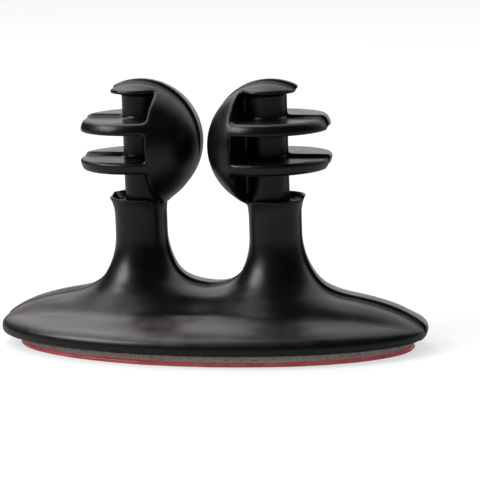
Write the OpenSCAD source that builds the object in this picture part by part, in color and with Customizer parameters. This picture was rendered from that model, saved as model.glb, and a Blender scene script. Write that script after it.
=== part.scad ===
// Twin post cable clip: one soft rubber moulding on an oval of foam tape.
// All sizes in millimetres. Z is up, the underside of the liner is z = 0,
// X runs along the base from post to post and Y runs along the cable.

/* [Base] */
// length of the oval base, end to end
base_l = 36.05; // [30:0.1:45]
// width of the oval base, front to back
base_w = 19.6; // [16:0.1:26]
// height of the widest line of the base above the floor
rim_z = 1.45; // [1.1:0.05:2]
// rise of the oval plate above the widest line
plate_rise = 2.8; // [2:0.1:4]
// rise of the long crown that runs under both necks
crown_rise = 3.45; // [2:0.1:5]
// width of the long crown
crown_w = 12.6; // [8:0.1:18]
// how far the crown stops short of each end of the plate
crown_in = 0.25; // [0.1:0.05:2]
// fullness of plate and crown: 2 is a plain ellipse, more is squarer
fullness = 2.5; // [2:0.1:4]

/* [Tape] */
// thickness of the foam tape
foam_t = 0.65; // [0.5:0.05:1.5]
// thickness of the release film with the adhesive on it
liner_t = 0.3; // [0.05:0.05:0.4]
// how far the foam stays inside the two ends of the base
inset_x = 1.4; // [0.5:0.1:3]
// how far the foam stays inside the front and back of the base
inset_y = 0.95; // [0.3:0.05:2]
// how far the tape was stuck on off centre, toward the right-hand end
tape_shift = 0.2; // [0:0.05:0.5]
// how far the film stands out past the foam
liner_lip = 0.12; // [0:0.02:0.5]

/* [Necks] */
// distance between the axes of the two necks
neck_gap = 11.5; // [10:0.05:14]
// radius of the neck at its waist
neck_r = 2.09; // [1.6:0.05:3]
// height of the waist, where the foot flare begins
waist_z = 9.2; // [8:0.1:11]
// radius of the long curve of the foot flare
flare_r = 6; // [4:0.1:9]
// radius of the short curve that lands on the crown
land_r = 1.2; // [0.5:0.1:3]
// radius of the lip at the top of the neck
lip_r = 2.52; // [2.3:0.02:3]
// height of the top of the lip
lip_z = 12.3; // [11:0.1:13]
// radius of the curve that carries the neck out to the lip
lip_curve = 3.2; // [1:0.1:5]
// wall thickness of the lip round the cup
lip_wall = 0.28; // [0.15:0.01:0.5]
// depth of the cup inside the lip
cup_depth = 0.55; // [0.2:0.05:1]

/* [Heads] */
// radius of the ball heads
ball_r = 5.06; // [4:0.05:6]
// distance between the centres of the two balls
ball_gap = 11.07; // [10.3:0.01:13]
// height of the ball centres
ball_z = 16.55; // [14:0.05:20]
// radius of the upright column inside the slots
column_r = 1.57; // [1:0.01:2]
// how far the axis of the column sits from the ball centre, toward the other ball
column_in = 0.2; // [0:0.02:0.3]
// thickness of the web that joins the column to the slot wall
web_t = 1.4; // [0.6:0.05:2]
// distance of the slot wall past the ball centre, toward the other ball
wall_x = 1.93; // [1:0.01:3]
// rounding of the slot corners at the wall
slot_corner = 0.3; // [0.1:0.05:0.6]
// underside of the cap above the ball centre
cap_z = 4.22; // [3.8:0.01:4.6]
// radius of the rounded rim of the cap
cap_edge = 0.15; // [0.05:0.01:0.25]
// top of the upper fin above the ball centre
fin_z = 2.19; // [1.6:0.01:2.6]
// thickness of each fin
fin_t = 0.98; // [0.6:0.02:1.4]
// radius of the rounded rims of the fins
fin_edge = 0.25; // [0.05:0.01:0.4]
// height of the slot between the two fins
fin_gap = 2.17; // [1.5:0.01:3]

/* [Mould] */
// how far the front half of the mould sits below the back half
mould_drop = 0.28; // [0:0.02:0.4]
// how far the front half sits to the left of the back half
mould_shift = 0.1; // [0:0.02:0.3]

/* [Hidden] */
$fn = 96;
base_z = liner_t + foam_t;
foam_l = base_l - 2 * inset_x;
foam_w = base_w - 2 * inset_y;
low_fin_z = fin_z - fin_t - fin_gap;
// how far, in degrees, the arc of a rounded rim runs on past the faces that it joins
rim_overrun = 15;
room = 60;

// points on an arc about c, from angle a to angle b
function arc(c, r, a, b, n) =
    [for (i = [0:n]) c + r * [cos(a + (b - a) * i / n), sin(a + (b - a) * i / n)]];

// half profile of a dome: flat in the middle, upright at the rim
function dome(half, rise, n) = [for (i = [0:n]) let (t = sin(90 * i / n))
    [half * t, rim_z + rise * sqrt(max(0, 1 - pow(t, fullness)))]];

// oval dome with a rounded lower edge, left long below for the flat cut
module oval(l, w, rise) {
    edge = rim_z - base_z;
    scale([1, w / l, 1])
        rotate_extrude()
            polygon(concat(
                dome(l / 2, rise, 20),
                arc([l / 2 - edge, rim_z], edge, -15, -90, 5),
                [[l / 2 - edge, base_z - 1], [0, base_z - 1]]
            ));
}

// oval plate with a narrower crown along it
module base() {
    oval(base_l, base_w, plate_rise);
    oval(base_l - 2 * crown_in, crown_w, crown_rise);
}

// round neck: flares down on to the crown and up to the lip
module neck() {
    land_from = 228;
    land_to = 242;
    flare_n = 16;
    flare_step = (land_from - 180) / flare_n;
    toe_l = 2.7;
    lip_edge = 0.1;
    flare_c = [neck_r + flare_r, waist_z];
    land_c = flare_c + (flare_r - land_r) * [cos(land_from), sin(land_from)];
    land_end = land_c + land_r * [cos(land_to), sin(land_to)];
    toe = land_end + toe_l * [-sin(land_to), cos(land_to)];
    lip_a = acos(1 - (lip_r - neck_r) / lip_curve);
    lip_c = [neck_r + lip_curve, lip_z - lip_edge - lip_curve * sin(lip_a)];
    rotate_extrude()
        polygon(concat(
            [[0, rim_z], [toe[0], rim_z], toe],
            arc(land_c, land_r, land_to, land_from, 5),
            arc(flare_c, flare_r, land_from - flare_step, 180, flare_n - 1),
            arc(lip_c, lip_curve, 180, 180 - lip_a, 6),
            [[lip_r - lip_edge, lip_z], [0, lip_z]]
        ));
}

// side view of a slot: open outward, rounded corners against the wall
module slot_profile(z0, z1) {
    c = slot_corner;
    polygon(concat(
        arc([c - wall_x, z1 - c], c, 90, 180, 4),
        arc([c - wall_x, z0 + c], c, 180, 270, 4),
        [[ball_r + 2, z0], [ball_r + 2, z1]]
    ));
}

// upright column in the slots, and the web behind it that joins it to the wall
module column() {
    translate([-column_in, 0, 0])
        cylinder(r = column_r, h = room, center = true);
    translate([-ball_r, -web_t / 2, -room / 2])
        cube([ball_r - column_in, web_t, room]);
}

// what the mould core takes out of one head; the lowest slot runs out below the ball
module slots() {
    levels = [
        [fin_z, cap_z],
        [low_fin_z, fin_z - fin_t],
        [-ball_r - 1, low_fin_z - fin_t]
    ];
    difference() {
        for (s = levels)
            rotate([90, 0, 0])
                linear_extrude(height = 4 * ball_r, center = true)
                    slot_profile(s[0], s[1]);
        column();
    }
}

// ring that rounds the rim of a level face of the ball by the radius e, and ends the
// slot's corner rounding there; the solid lies below the face where side is 1 and
// above it where side is -1
module rim_ring(z, side, e) {
    in = e * cos(rim_overrun);
    c = [sqrt(pow(ball_r - in, 2) - pow(z - side * in, 2)), z - side * in];
    out = atan2(c[1], c[0]);
    clear_z = z + side * (slot_corner + 0.05);
    rotate_extrude()
        polygon(concat(
            [[c[0], clear_z]],
            arc(c, e, 90 * side, out, ceil(abs(out - 90 * side) / 20)),
            [(ball_r + 1) * [cos(out), sin(out)], [ball_r + 1, clear_z]]
        ));
}

// rings for the rims of the cap and both fins, on the slotted side only
module rim_rings() {
    rims = [
        [cap_z, -1, cap_edge],
        [fin_z, 1, fin_edge],
        [fin_z - fin_t, -1, fin_edge],
        [low_fin_z, 1, fin_edge],
        [low_fin_z - fin_t, -1, fin_edge]
    ];
    intersection() {
        translate([-wall_x, -room / 2, -room / 2])
            cube([room, room, room]);
        union()
            for (r = rims)
                rim_ring(r[0], r[1], r[2]);
    }
}

// ball with level slots on its outer side, about its own centre
module head() {
    difference() {
        sphere(r = ball_r);
        slots();
        rim_rings();
    }
}

// shallow cup inside the lip, on the slotted side only; it narrows to its floor
module cup() {
    difference() {
        intersection() {
            translate([neck_gap / 2, 0, lip_z - cup_depth])
                cylinder(r1 = lip_r - 2 * lip_wall, r2 = lip_r, h = 2 * cup_depth);
            translate([ball_gap / 2 - wall_x, -room / 2, 0])
                cube([room, room, room]);
        }
        translate([ball_gap / 2, 0, 0])
            column();
    }
}

// right-hand post from its foot to the cap
module post() {
    difference() {
        union() {
            translate([neck_gap / 2, 0, 0])
                neck();
            translate([ball_gap / 2, 0, ball_z])
                head();
        }
        cup();
    }
}

// the whole moulding before the mould halves are set against each other
module moulding() {
    base();
    post();
    mirror([1, 0, 0])
        post();
}

// the halves meet a little out of line: the front half sits low and to the left
module clip_body() {
    color([0.09, 0.09, 0.1])
        for (s = [-1, 1])
            intersection() {
                translate([s * mould_shift / 2, 0, s * mould_drop / 2])
                    moulding();
                translate([-room / 2, s < 0 ? -room : 0, base_z])
                    cube([room, room, room]);
            }
}

// flat oval layer, cut from an upright oval bar
module layer(l, w, t) {
    intersection() {
        linear_extrude(height = 4 * t, center = true)
            scale([1, w / l])
                circle(d = l);
        translate([-l, -w, 0])
            cube([2 * l, 2 * w, t]);
    }
}

// oval cut from foam tape
module foam_pad() {
    color([0.45, 0.44, 0.43])
        translate([tape_shift, 0, liner_t])
            layer(foam_l, foam_w, foam_t);
}

// film left on the sticky underside of the tape
module release_liner() {
    color([0.75, 0.16, 0.15])
        translate([tape_shift, 0, 0])
            layer(foam_l + 2 * liner_lip, foam_w + 2 * liner_lip, liner_t);
}

clip_body();
foam_pad();
release_liner();
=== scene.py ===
"""Cable clip: soft black rubber moulding, foam tape and red release film, on a pale floor.

The moulding is written as one signed distance field in millimetres and meshed here, so that
its edges and joins are as soft as rubber. Everything else is in metres.
"""
import math

import bpy
import numpy as np
from mathutils import Matrix, Vector


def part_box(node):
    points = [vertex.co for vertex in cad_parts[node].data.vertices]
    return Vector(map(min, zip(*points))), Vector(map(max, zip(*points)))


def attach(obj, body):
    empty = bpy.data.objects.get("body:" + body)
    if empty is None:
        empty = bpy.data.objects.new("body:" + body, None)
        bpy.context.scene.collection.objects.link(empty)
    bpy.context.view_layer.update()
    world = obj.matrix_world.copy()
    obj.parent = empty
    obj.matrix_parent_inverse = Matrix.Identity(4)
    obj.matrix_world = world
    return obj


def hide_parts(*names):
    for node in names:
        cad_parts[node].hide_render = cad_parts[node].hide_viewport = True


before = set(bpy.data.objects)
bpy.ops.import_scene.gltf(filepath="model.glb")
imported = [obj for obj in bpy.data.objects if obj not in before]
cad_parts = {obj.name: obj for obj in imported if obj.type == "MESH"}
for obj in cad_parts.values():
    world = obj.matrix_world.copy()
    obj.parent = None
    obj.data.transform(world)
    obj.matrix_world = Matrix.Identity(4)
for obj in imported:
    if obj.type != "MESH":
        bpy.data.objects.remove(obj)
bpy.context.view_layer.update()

MM = 0.001

body_low, body_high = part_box("clip_body")
foam_low, foam_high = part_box("foam_pad")
film_low, film_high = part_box("release_liner")

# The moulding's sizes are in millimetres. Heads, necks, column and lip are as in the
# construction. The plate is lower and flatter and the crown narrower than there, as the
# photograph shows them.

# mould line: the front half sits this much low and to the left of the back half
MOULD_DROP = 0.28
MOULD_SHIFT = 0.1

# plate and crown; FULL, ALONG and ACROSS are exponents: 2 is an ellipse, more is squarer
BASE_Z = foam_high.z / MM
HALF_L = (body_high.x - body_low.x - MOULD_SHIFT * MM) / 2 / MM
HALF_W = (body_high.y - body_low.y) / 2 / MM
RIM_Z = 1.45
PLATE_RISE = 1.8
PLATE_FULL_ROUND = 3.0
PLATE_FULL_UP = 3.0
CROWN_IN = 0.25
CROWN_HALF_W = 4.6
CROWN_RISE = 3.45
CROWN_ALONG = 2.5
CROWN_ACROSS = 3.2

# necks: the flare runs down a long curve, lands on a short one and ends in a straight toe
# inside the base, and the outline closes TOE_ROOM below that; angles in degrees
NECK_X = 5.75
NECK_R = 2.09
WAIST_Z = 9.2
FLARE_R = 6.0
LAND_R = 1.2
LAND_FROM = 228
LAND_TO = 231
TOE = 3.4
TOE_ROOM = 2.0

# the feet narrow across the base, by a share that grows over a depth below a height
FOOT_SQUEEZE = 0.1
SQUEEZE_Z = 5.2
SQUEEZE_DEPTH = 1.7

# lip and the cup in it; the lip's flare fades out over a distance, toward the other post
LIP_R = 2.52
LIP_Z = 12.3
LIP_CURVE = 3.2
LIP_WALL = 0.28
LIP_FADE = 0.8
CUP_DEPTH = 0.55

# heads; the heights of cap and fins are above the centre of the ball
BALL_R = 5.06
BALL_X = 5.535
BALL_Z = body_high.z / MM - BALL_R - MOULD_DROP / 2
COLUMN_R = 1.57
COLUMN_IN = 0.2
WEB_HALF = 0.7
WALL = 1.93
CAP_Z = 4.22
CAP_R = 2.42
FIN_Z = 2.19
FIN_T = 0.98
FIN_GAP = 2.17

# distances over which edges and joins are rounded
SOFT_FIN = 0.34
SOFT_SLOT = 0.4
SOFT_COLUMN = 0.3
SOFT_NECK = 0.35
SOFT_CHIN = 1.0
SOFT_CROWN = 0.6
SOFT_FOOT = 0.85
SOFT_LIP = 0.08
SOFT_STEP = 0.07

# the chin's softness starts this far outside the slots' wall and is full a little further in
CHIN_OUT = 0.1
CHIN_FADE = 0.5

# the crown's softness falls off toward the ends of the plate, down to a share
CROWN_FADE = 1.6
CROWN_END = 0.5

# least slope that a field is divided by, and a length that stands in for zero
LEAST_SLOPE = 0.08
TINY = 1e-6

# meshing grid: where each band of an axis begins, and its spacing. It is wide beyond the
# posts and along the necks, and fine close to the mould line
BANDS_X = [(-math.inf, 0.28), (-10.8, 0.18), (10.8, 0.28)]
BANDS_Y = [(-math.inf, 0.28), (-5.3, 0.18), (-0.2, 0.05), (0.2, 0.18), (5.3, 0.28)]
BANDS_Z = [(-math.inf, 0.12), (2.4, 0.18), (6.8, 0.28), (11.3, 0.125)]
MARGIN = 0.6
MARGIN_BELOW = 0.4

# foam and film, in millimetres: waves round the outline as (how many, height), and rings of
# the flat faces as shares of half the width
FACE_RINGS = (0.9, 0.6, 0.3, 0.1)
FOAM_COLUMNS = 1500
FOAM_ROWS = 13
FOAM_WAVES = [(5, 0.02), (11, 0.02), (23, 0.01)]
FOAM_PORES = 900
FOAM_DRAGS = 90
DEEPEST_PIT = 0.09
FILM_COLUMNS = 720
FILM_WAVES = [(3, 0.03), (7, 0.02), (16, 0.015), (41, 0.01)]
FILM_TRIM = 0.05

# colours, from the darkest shade of each to the lightest
RUBBER = ((0.0012, 0.0012, 0.0014), (0.0022, 0.002, 0.002))
# dust on the plate's shoulder; its light tint is also a painted highlight there
DUST_AND_HIGHLIGHT = ((0.034, 0.03, 0.029), (0.062, 0.054, 0.051))
# the foam's darkest colour is painted shade in the hollows of its cells
FOAM = ((0.1, 0.085, 0.08), (0.36, 0.31, 0.29), (0.5, 0.43, 0.41))
FILM = ((0.68, 0.07, 0.085), (0.82, 0.14, 0.15))

# faint dust and a painted highlight on the shoulder of the plate, full on the left where the
# light comes from: heights in millimetres at which it begins, is full, starts to thin and ends,
# and the stretch along the clip over which it thins to a share
DUST_HIGHLIGHT_Z = (1.7, 2.35, 2.85, 3.3)
DUST_HIGHLIGHT_REACH = 5.0
DUST_HIGHLIGHT_X = (0, 12)
DUST_HIGHLIGHT_LEFT = 0.15

# floor: its grey in the room's light, and what lifts it to white for the camera alone
FLOOR_GREY = 0.35
FLOOR_LIFT = 0.58
FLOOR_HALF = 1.5

# room: its diffuse light, where its white side is, and its greys in gloss at places from 0,
# opposite the white side, to 1, the white side; lamps face a point on the clip
ROOM_LIGHT = 0.8
ROOM_WHITE_AZ = math.radians(180)
ROOM_WHITE_EL = math.radians(35)
GLOSS_AT = (0.0, 0.83, 0.92)
GLOSS_GREY = (0.015, 0.01, 1.1)
LIGHT_AIM = Vector((0, 0, 0.01))

# camera, from the photograph's perspective; its focal length is in the photograph's pixels
CAMERA_AT = Vector((66.416, -193.659, 43.015)) * MM
CAMERA_AZ = math.radians(18.214)
CAMERA_EL = math.radians(9.575)
CAMERA_ROLL = math.radians(1.864)
FOCAL_PX = 2551.198
FRAME_PX = 480
SENSOR = 36.0


def smooth_max(a, b, k):
    """The larger of two fields, rounded over a distance k where they cross."""
    h = np.maximum(k - np.abs(a - b), 0) / k
    return np.maximum(a, b) + h * h * k / 4


def smooth_min(a, b, k):
    """The smaller of two fields, filled over a distance k where they cross."""
    return -smooth_max(-a, -b, k)


def arc(cx, cz, r, start, end, n):
    """Points (radius, height) on an arc, angles in degrees."""
    a = np.radians(np.linspace(start, end, n))
    return np.column_stack([cx + r * np.cos(a), cz + r * np.sin(a)])


def neck_profile():
    """Outline of the round neck from its toe in the base up to the lip."""
    steep, shallow = math.radians(LAND_FROM), math.radians(LAND_TO)
    flare_c = np.array([NECK_R + FLARE_R, WAIST_Z])
    land_c = flare_c + (FLARE_R - LAND_R) * np.array([math.cos(steep), math.sin(steep)])
    land_end = land_c + LAND_R * np.array([math.cos(shallow), math.sin(shallow)])
    toe = land_end + TOE * np.array([-math.sin(shallow), math.cos(shallow)])
    lip_a = math.acos(1 - (LIP_R - NECK_R) / LIP_CURVE)
    lip_z = LIP_Z - LIP_CURVE * math.sin(lip_a)
    return np.vstack([
        [0, toe[1] - TOE_ROOM],
        toe,
        arc(*land_c, LAND_R, LAND_TO, LAND_FROM, 6),
        arc(*flare_c, FLARE_R, LAND_FROM, 180, 40)[1:],
        arc(NECK_R + LIP_CURVE, lip_z, LIP_CURVE, 180, 180 - math.degrees(lip_a), 12),
    ])


def plate_field(x, y, z):
    """Oval plate, domed above its rim and rounded below it, as an approximate distance."""
    edge = RIM_Z - BASE_Z
    t = np.sqrt((x / HALF_L) ** 2 + (y / HALF_W) ** 2) + TINY
    slope_t = np.sqrt(x ** 2 / HALF_L ** 4 + y ** 2 / HALF_W ** 4) / t + TINY
    up = np.maximum(z - RIM_Z, 0) / PLATE_RISE
    value = t ** PLATE_FULL_ROUND + up ** PLATE_FULL_UP - 1
    slope = np.hypot(
        PLATE_FULL_ROUND * t ** (PLATE_FULL_ROUND - 1) * slope_t,
        PLATE_FULL_UP * up ** (PLATE_FULL_UP - 1) / PLATE_RISE)
    above = value / np.maximum(slope, LEAST_SLOPE)
    edge_here = edge / (slope_t * HALF_L)
    out = np.maximum((t - 1) / slope_t / edge_here + 1, 0)
    below = (np.sqrt(out ** 2 + ((RIM_Z - z) / edge) ** 2) - 1) * np.minimum(edge, edge_here)
    return np.where(z >= RIM_Z, above, below)


def crown_field(x, y, z):
    """Narrow crown along the plate, steeper across it than along it."""
    half_l = HALF_L - CROWN_IN
    along = np.abs(x) / half_l
    across = np.abs(y) / CROWN_HALF_W
    up = np.maximum(z - RIM_Z, 0) / CROWN_RISE
    value = along ** CROWN_ALONG + across ** CROWN_ACROSS + up ** 2 - 1
    slope = np.sqrt(
        (CROWN_ALONG * along ** (CROWN_ALONG - 1) / half_l) ** 2
        + (CROWN_ACROSS * across ** (CROWN_ACROSS - 1) / CROWN_HALF_W) ** 2
        + (2 * up / CROWN_RISE) ** 2)
    return value / np.maximum(slope, LEAST_SLOPE)


def base_field(x, y, z):
    """Oval plate with a narrower crown along it."""
    soft = SOFT_CROWN * np.clip(CROWN_FADE * (1 - (x / HALF_L) ** 2), CROWN_END, 1)
    return smooth_min(plate_field(x, y, z), crown_field(x, y, z), soft)


def neck_field(x, y, z):
    """Neck up to the lip, its foot a little narrower across the base; the cup is in its top."""
    profile = neck_profile()
    step = 0.02
    radius = np.interp(z, profile[:, 1], profile[:, 0])
    lean = (np.interp(z + step, profile[:, 1], profile[:, 0]) - radius) / step
    lip_side = np.clip((x - NECK_X + NECK_R) / LIP_FADE, 0, 1)
    radius = np.where(z > WAIST_Z, NECK_R + (radius - NECK_R) * lip_side, radius)
    squeeze = FOOT_SQUEEZE * np.clip((SQUEEZE_Z - z) / SQUEEZE_DEPTH, 0, 1)
    away = np.hypot(x - NECK_X, y * (1 + squeeze))
    side = (away - radius) / np.sqrt(1 + lean ** 2)
    neck = smooth_max(side, z - LIP_Z, SOFT_LIP)
    depth = (LIP_Z - z) / CUP_DEPTH
    cup = smooth_max(away - (LIP_R - LIP_WALL * (1 + depth)), LIP_Z - CUP_DEPTH - z, SOFT_LIP)
    cup = smooth_max(cup, BALL_X - WALL - x, SOFT_SLOT)
    return smooth_max(neck, -cup, SOFT_LIP)


def head_field(x, y, z):
    """Ball with level slots on its outer side, round an upright column."""
    x, z = x - BALL_X, z - BALL_Z
    away = np.hypot(x, y)
    whole_ball = np.sqrt(away ** 2 + z ** 2) - BALL_R
    cap = smooth_max(whole_ball, np.where(x > -WALL, away - CAP_R, -BALL_R), SOFT_FIN)
    ball = np.where(z > (FIN_Z + CAP_Z) / 2, cap, whole_ball)
    low_fin = FIN_Z - FIN_T - FIN_GAP
    levels = [(FIN_Z, CAP_Z), (low_fin, FIN_Z - FIN_T), (-2 * BALL_R, low_fin - FIN_T)]
    for low, high in levels:
        slot = np.maximum(low - z, z - high)
        slot = smooth_max(slot, -WALL - x, SOFT_SLOT)
        ball = smooth_max(ball, -slot, SOFT_FIN)
    column = np.hypot(x + COLUMN_IN, y) - COLUMN_R
    web = np.maximum(np.abs(y) - WEB_HALF, np.maximum(x + COLUMN_IN, -WALL - SOFT_SLOT - x))
    web = np.maximum(web, whole_ball + SOFT_FIN)
    column = smooth_min(column, web, SOFT_COLUMN)
    ends = np.maximum(z - CAP_Z - SOFT_FIN, LIP_Z - CUP_DEPTH - BALL_Z - SOFT_FIN - z)
    return smooth_min(ball, np.maximum(column, ends), SOFT_COLUMN)


def moulding_field(x, y, z):
    """The whole moulding before its halves are set out of line."""
    side = np.abs(x)
    behind_wall = np.clip((BALL_X - WALL + CHIN_OUT - side) / CHIN_FADE, 0, 1)
    soft = SOFT_NECK + (SOFT_CHIN - SOFT_NECK) * behind_wall
    post = smooth_min(neck_field(side, y, z), head_field(side, y, z), soft)
    foot = SOFT_FOOT * (1 + np.clip(1 - side / NECK_X, 0, 1))
    return smooth_min(base_field(x, y, z), post, foot)


def graded(low, high, bands):
    """Grid lines from low to just past high, each spaced as the band that it falls in."""
    lines = [low]
    while lines[-1] < high:
        spacing = [cell for start, cell in bands if start <= lines[-1]][-1]
        lines.append(lines[-1] + spacing)
    return np.array(lines)


def surface_net(field, xs, ys, zs):
    """Quads of the surface where the field is zero: one point in each crossed cell."""
    inside = field < 0
    total = np.zeros([n - 1 for n in field.shape] + [3])
    count = np.zeros([n - 1 for n in field.shape])
    grids = (xs, ys, zs)
    crossings = []
    # where the surface crosses a grid edge, added up in the four cells round that edge
    for axis in range(3):
        lo = [slice(None)] * 3
        hi = [slice(None)] * 3
        lo[axis], hi[axis] = slice(None, -1), slice(1, None)
        a, b = field[tuple(lo)], field[tuple(hi)]
        cross = np.argwhere(inside[tuple(lo)] != inside[tuple(hi)])
        at = tuple(cross.T)
        share = a[at] / (a[at] - b[at])
        point = np.stack([grids[n][cross[:, n]] for n in range(3)], 1)
        step = grids[axis][cross[:, axis] + 1] - grids[axis][cross[:, axis]]
        point[:, axis] += share * step
        u, v = (axis + 1) % 3, (axis + 2) % 3
        for du in (0, 1):
            for dv in (0, 1):
                cell = cross.copy()
                cell[:, u] -= du
                cell[:, v] -= dv
                np.add.at(total, tuple(cell.T), point)
                np.add.at(count, tuple(cell.T), 1)
        crossings.append((axis, cross, inside[tuple(lo)][at]))
    used = count > 0
    number = np.full(count.shape, -1)
    number[used] = np.arange(used.sum())
    points = total[used] / count[used][:, None]
    # one quad round each crossed edge, turned to face out
    quads = []
    for axis, cross, from_inside in crossings:
        u, v = (axis + 1) % 3, (axis + 2) % 3
        corners = []
        for du, dv in ((0, 0), (1, 0), (1, 1), (0, 1)):
            cell = cross.copy()
            cell[:, u] -= du
            cell[:, v] -= dv
            corners.append(number[tuple(cell.T)])
        quad = np.stack(corners, 1)
        quad[~from_inside] = quad[~from_inside][:, ::-1]
        quads.append(quad)
    return points, np.vstack(quads)


def mesh_object(name, points, faces):
    """A smooth shaded mesh object from points in metres."""
    mesh = bpy.data.meshes.new(name)
    mesh.from_pydata(points.tolist(), [], faces)
    mesh.validate()
    mesh.polygons.foreach_set("use_smooth", [True] * len(mesh.polygons))
    obj = bpy.data.objects.new(name, mesh)
    bpy.context.scene.collection.objects.link(obj)
    return obj


def rubber_moulding():
    """The black moulding: front half low and to the left of the back half."""
    xs = graded(-HALF_L - MARGIN, HALF_L + MARGIN, BANDS_X)
    ys = graded(-HALF_W - MARGIN, HALF_W + MARGIN, BANDS_Y)
    zs = graded(BASE_Z - MARGIN_BELOW, BALL_Z + BALL_R + MARGIN, BANDS_Z)
    x, y, z = np.meshgrid(xs, ys, zs, indexing="ij")
    side = np.clip(y / SOFT_STEP, -1, 1)
    field = moulding_field(x - side * MOULD_SHIFT / 2, y, z - side * MOULD_DROP / 2)
    field = smooth_max(field, BASE_Z - z, SOFT_LIP)
    points, quads = surface_net(field, xs, ys, zs)
    return mesh_object("rubber_moulding", points * MM, quads.tolist())


def surface_waves(angle, seed, waves):
    """Smooth noise in metres round a closed outline: waves lists (how many, height)."""
    rng = np.random.default_rng(seed)
    return MM * sum(height * np.sin(n * angle + rng.uniform(0, 2 * np.pi)) for n, height in waves)


def oval_layer(name, low, high, columns, side, push):
    """Closed flat oval layer. side lists (inset, share of the height), from the lower edge up."""
    centre = (low + high) / 2
    half_l, half_w = (high.x - low.x) / 2, (high.y - low.y) / 2
    angle = np.linspace(0, 2 * np.pi, columns, endpoint=False)
    inner = [half_w * share for share in FACE_RINGS]
    rings = [(inset, 0.0) for inset in inner] + side + [(inset, 1.0) for inset in inner[::-1]]
    grid = np.zeros((len(rings), columns, 3))
    for n, (inset, share) in enumerate(rings):
        out = push(angle, share) * (inset < inner[-1]) - inset
        grid[n, :, 0] = centre.x + (half_l + out) * np.cos(angle)
        grid[n, :, 1] = centre.y + (half_w + out) * np.sin(angle)
        grid[n, :, 2] = low.z + (high.z - low.z) * share
    number = np.arange(len(rings) * columns).reshape(len(rings), columns)
    beside = np.roll(number, -1, 1)
    quads = np.stack([number[:-1], beside[:-1], beside[1:], number[1:]], 2).reshape(-1, 4)
    middle = [[centre.x, centre.y, low.z], [centre.x, centre.y, high.z]]
    points = np.vstack([grid.reshape(-1, 3), middle])
    foot, top = len(points) - 2, len(points) - 1
    fans = [(foot, int(beside[0, n]), int(number[0, n])) for n in range(columns)]
    fans += [(top, int(number[-1, n]), int(beside[-1, n])) for n in range(columns)]
    return mesh_object(name, points, quads.tolist() + fans)


def foam_tape():
    """Grey foam tape: its cut side is pitted with open cells and short knife drags."""
    rng = np.random.default_rng(4)
    pore_a = rng.uniform(0, 2 * np.pi, FOAM_PORES)
    pore_z = rng.uniform(0, 1, FOAM_PORES)
    pore_w = rng.uniform(0.0016, 0.005, FOAM_PORES)
    pore_h = rng.uniform(0.05, 0.16, FOAM_PORES)
    pore_deep = rng.uniform(0.02, 0.07, FOAM_PORES) * MM
    drags = rng.choice(FOAM_PORES, FOAM_DRAGS, replace=False)
    pore_h[drags] = rng.uniform(0.2, 0.5, FOAM_DRAGS)
    pore_w[drags] = rng.uniform(0.001, 0.002, FOAM_DRAGS)

    def push(angle, share):
        gap = np.abs(angle[:, None] - pore_a[None])
        gap = np.minimum(gap, 2 * np.pi - gap) / pore_w
        reach = gap ** 2 + ((share - pore_z) / pore_h) ** 2
        pits = (pore_deep * np.exp(-reach)).sum(1)
        return surface_waves(angle, 8, FOAM_WAVES) - np.minimum(pits, DEEPEST_PIT * MM)

    edge, face = 0.05 * MM, 0.02 * MM
    rows = [(face, share) for share in np.linspace(0.04, 0.96, FOAM_ROWS)]
    rows = [(edge, 0.0)] + rows + [(edge, 1.0)]
    return oval_layer("foam_tape", foam_low, foam_high, FOAM_COLUMNS, rows, push)


def release_film():
    """Red film: thin, glossy, its cut edge a little wavy."""
    def push(angle, share):
        return surface_waves(angle, 3, FILM_WAVES) - FILM_TRIM * MM

    edge, shoulder = 0.06 * MM, 0.015 * MM
    rows = [(edge, 0.0), (shoulder, 0.15), (0.0, 0.5), (shoulder, 0.85), (edge, 1.0)]
    return oval_layer("release_film", film_low, film_high, FILM_COLUMNS, rows, push)


def new_material(name):
    """An empty node material: returns it with its nodes, links and shader."""
    material = bpy.data.materials.new(name)
    material.use_nodes = True
    nodes, links = material.node_tree.nodes, material.node_tree.links
    return material, nodes, links, nodes["Principled BSDF"]


def greys(*values):
    """Grey colours of these values."""
    return [(value, value, value) for value in values]


def noise(nodes, links, scale, detail=4.0, roughness=0.5):
    """Noise in object space, scale in features per metre."""
    place = nodes.new("ShaderNodeTexCoord")
    texture = nodes.new("ShaderNodeTexNoise")
    texture.inputs["Scale"].default_value = scale
    texture.inputs["Detail"].default_value = detail
    texture.inputs["Roughness"].default_value = roughness
    links.new(place.outputs["Object"], texture.inputs["Vector"])
    return texture.outputs["Fac"]


def ramp(nodes, links, source, places, colours):
    """Colour ramp from a value: one colour at each place from 0 to 1."""
    node = nodes.new("ShaderNodeValToRGB")
    while len(node.color_ramp.elements) < len(places):
        node.color_ramp.elements.new(0.5)
    for element, at, colour in zip(node.color_ramp.elements, places, colours):
        element.position = at
        element.color = (*colour, 1)
    links.new(source, node.inputs["Fac"])
    return node.outputs["Color"]


def map_range(nodes, links, source, start, end, to_start=0, to_end=1):
    """A value between start and end turned into one between to_start and to_end."""
    node = nodes.new("ShaderNodeMapRange")
    node.inputs["From Min"].default_value = start
    node.inputs["From Max"].default_value = end
    node.inputs["To Min"].default_value = to_start
    node.inputs["To Max"].default_value = to_end
    links.new(source, node.inputs["Value"])
    return node.outputs["Result"]


def bump(nodes, links, source, strength, distance, under=None):
    """Bump from a height value, distance in metres, on top of another bump if one is given."""
    node = nodes.new("ShaderNodeBump")
    node.inputs["Strength"].default_value = strength
    node.inputs["Distance"].default_value = distance
    links.new(source, node.inputs["Height"])
    if under is not None:
        links.new(under, node.inputs["Normal"])
    return node.outputs["Normal"]


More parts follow.
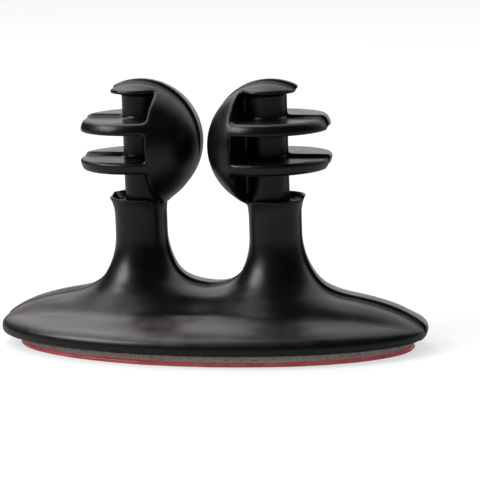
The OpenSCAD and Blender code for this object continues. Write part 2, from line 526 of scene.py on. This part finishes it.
def dust_and_highlight_share(nodes, links):
    """How much dust and painted highlight lies at a place on the moulding, from 0 to 1: a band on
    the plate's shoulder, full on the left and thinning toward the right end as the light falls.
    """
    place = nodes.new("ShaderNodeTexCoord")
    apart = nodes.new("ShaderNodeSeparateXYZ")
    links.new(place.outputs["Object"], apart.inputs[0])
    height = map_range(nodes, links, apart.outputs["Z"], 0, DUST_HIGHLIGHT_REACH * MM)
    band = ramp(nodes, links, height, [z / DUST_HIGHLIGHT_REACH for z in DUST_HIGHLIGHT_Z], greys(0, 1, 1, 0))
    start, end = DUST_HIGHLIGHT_X
    along = map_range(nodes, links, apart.outputs["X"], start * MM, end * MM, 1, DUST_HIGHLIGHT_LEFT)
    share = nodes.new("ShaderNodeMath")
    share.operation = "MULTIPLY"
    links.new(band, share.inputs[0])
    links.new(along, share.inputs[1])
    return share.outputs[0]


def rubber_material():
    """Black rubber: satin, faintly mottled, with a fine moulded grain, and dust with a painted
    highlight on the plate's shoulder.
    """
    material, nodes, links, shader = new_material("black_rubber")
    mottle = noise(nodes, links, 700, 5)
    grain = noise(nodes, links, 9000, 3)
    colour = nodes.new("ShaderNodeMix")
    colour.data_type = "RGBA"
    # dust and painted highlight mixed over the rubber on the plate's shoulder
    links.new(dust_and_highlight_share(nodes, links), colour.inputs["Factor"])
    links.new(ramp(nodes, links, mottle, (0.3, 0.7), RUBBER), colour.inputs["A"])
    links.new(ramp(nodes, links, mottle, (0.35, 0.65), DUST_AND_HIGHLIGHT), colour.inputs["B"])
    links.new(colour.outputs["Result"], shader.inputs["Base Color"])
    gloss = ramp(nodes, links, mottle, (0.3, 0.7), greys(0.29, 0.37))
    links.new(gloss, shader.inputs["Roughness"])
    coarse = bump(nodes, links, mottle, 0.15, 0.03 * MM)
    links.new(bump(nodes, links, grain, 0.12, 0.004 * MM, coarse), shader.inputs["Normal"])
    shader.inputs["Specular IOR Level"].default_value = 0.4
    return material


def foam_material():
    """Grey closed-cell foam, its cells painted darker than its skin as shade in their hollows."""
    material, nodes, links, shader = new_material("grey_foam")
    cells = noise(nodes, links, 4500, 6, 0.7)
    # darkest where the bump is lowest: painted shade in the cells' hollows
    links.new(ramp(nodes, links, cells, (0.3, 0.45, 0.75), FOAM), shader.inputs["Base Color"])
    links.new(bump(nodes, links, cells, 0.7, 0.04 * MM), shader.inputs["Normal"])
    shader.inputs["Roughness"].default_value = 0.9
    return material


def film_material():
    """Red release film, glossy, a little cloudy."""
    material, nodes, links, shader = new_material("red_film")
    cloud = noise(nodes, links, 500, 4)
    links.new(ramp(nodes, links, cloud, (0.3, 0.7), FILM), shader.inputs["Base Color"])
    gloss = ramp(nodes, links, cloud, (0.3, 0.7), greys(0.22, 0.34))
    links.new(gloss, shader.inputs["Roughness"])
    links.new(bump(nodes, links, cloud, 0.2, 0.02 * MM), shader.inputs["Normal"])
    return material


def floor_material():
    """Pale grey surface, lifted to white for the camera, that keeps the shadow."""
    material, nodes, links, shader = new_material("floor")
    shader.inputs["Base Color"].default_value = (*greys(FLOOR_GREY)[0], 1)
    shader.inputs["Roughness"].default_value = 0.8
    shader.inputs["Specular IOR Level"].default_value = 0.1
    rays = nodes.new("ShaderNodeLightPath")
    lift = nodes.new("ShaderNodeMath")
    lift.operation = "MULTIPLY"
    lift.inputs[1].default_value = FLOOR_LIFT
    links.new(rays.outputs["Is Camera Ray"], lift.inputs[0])
    shader.inputs["Emission Color"].default_value = (1, 1, 1, 1)
    links.new(lift.outputs[0], shader.inputs["Emission Strength"])
    return material


def sky_way(azimuth, elevation):
    """Direction out from the clip: azimuth 0 is in front of it, positive to the right."""
    level = math.cos(elevation)
    return Vector((math.sin(azimuth) * level, -math.cos(azimuth) * level, math.sin(elevation)))


def studio_world():
    """Soft room light. In gloss the room is white behind the clip and dark elsewhere."""
    world = bpy.data.worlds.new("studio")
    bpy.context.scene.world = world
    world.use_nodes = True
    nodes, links = world.node_tree.nodes, world.node_tree.links
    in_gloss = nodes["Background"]
    soft = nodes.new("ShaderNodeBackground")
    soft.inputs["Color"].default_value = (*greys(ROOM_LIGHT)[0], 1)
    place = nodes.new("ShaderNodeTexCoord")
    turn = nodes.new("ShaderNodeVectorMath")
    turn.operation = "DOT_PRODUCT"
    turn.inputs[1].default_value = sky_way(ROOM_WHITE_AZ, ROOM_WHITE_EL)
    links.new(place.outputs["Generated"], turn.inputs[0])
    toward_white = map_range(nodes, links, turn.outputs["Value"], -1, 1)
    shade = ramp(nodes, links, toward_white, GLOSS_AT, greys(*GLOSS_GREY))
    links.new(shade, in_gloss.inputs["Color"])
    rays = nodes.new("ShaderNodeLightPath")
    mix = nodes.new("ShaderNodeMixShader")
    links.new(rays.outputs["Is Glossy Ray"], mix.inputs[0])
    links.new(soft.outputs[0], mix.inputs[1])
    links.new(in_gloss.outputs[0], mix.inputs[2])
    links.new(mix.outputs[0], nodes["World Output"].inputs["Surface"])


def area_light(name, azimuth, elevation, distance, width, height, glow):
    """Lamp that faces the clip, angles in degrees; glow is the radiance of its face."""
    lamp = bpy.data.lights.new(name, "AREA")
    lamp.shape = "RECTANGLE"
    lamp.size = width
    lamp.size_y = height
    lamp.energy = glow * math.pi * width * height
    obj = bpy.data.objects.new(name, lamp)
    bpy.context.scene.collection.objects.link(obj)
    away = sky_way(math.radians(azimuth), math.radians(elevation))
    obj.location = LIGHT_AIM + away * distance
    obj.rotation_mode = "QUATERNION"
    obj.rotation_quaternion = away.to_track_quat("Z", "Y")


def photo_camera():
    """Camera at the photograph's place, angle and roll."""
    data = bpy.data.cameras.new("camera")
    data.sensor_fit = "HORIZONTAL"
    data.sensor_width = SENSOR
    data.lens = FOCAL_PX * SENSOR / FRAME_PX
    data.clip_start = 0.01
    data.clip_end = 20
    obj = bpy.data.objects.new("camera", data)
    bpy.context.scene.collection.objects.link(obj)
    bpy.context.scene.camera = obj
    a, e, roll = CAMERA_AZ, CAMERA_EL, CAMERA_ROLL
    forward = Vector((-math.sin(a) * math.cos(e), math.cos(a) * math.cos(e), -math.sin(e)))
    level = Vector((math.cos(a), math.sin(a), 0))
    upright = level.cross(forward)
    right = math.cos(roll) * level - math.sin(roll) * upright
    up = math.sin(roll) * level + math.cos(roll) * upright
    turn = Matrix((right, up, -forward)).transposed().to_4x4()
    obj.matrix_world = Matrix.Translation(CAMERA_AT) @ turn


def studio_floor():
    """Pale floor under the release film."""
    half = FLOOR_HALF
    corners = np.array([(-half, -half, 0), (half, -half, 0), (half, half, 0), (-half, half, 0)])
    floor = mesh_object("floor", corners, [(0, 1, 2, 3)])
    floor.data.materials.append(floor_material())


def dress(piece, node, material):
    """Gives a piece its material, hangs it under the root body and hides the CAD node that it
    stands for.
    """
    piece.data.materials.clear()
    piece.data.materials.append(material)
    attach(piece, "root")
    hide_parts(node)


moulding = rubber_moulding()
photo_camera()
studio_world()
studio_floor()
area_light("key", azimuth=-60, elevation=36, distance=0.35, width=0.18, height=0.15, glow=9.5)
area_light("top", azimuth=-115, elevation=60, distance=0.35, width=0.3, height=0.3, glow=2.0)

dress(moulding, "clip_body", rubber_material())
foam = foam_tape()
dress(foam, "foam_pad", foam_material())
dress(release_film(), "release_liner", film_material())

bpy.context.scene.view_settings.view_transform = "Standard"
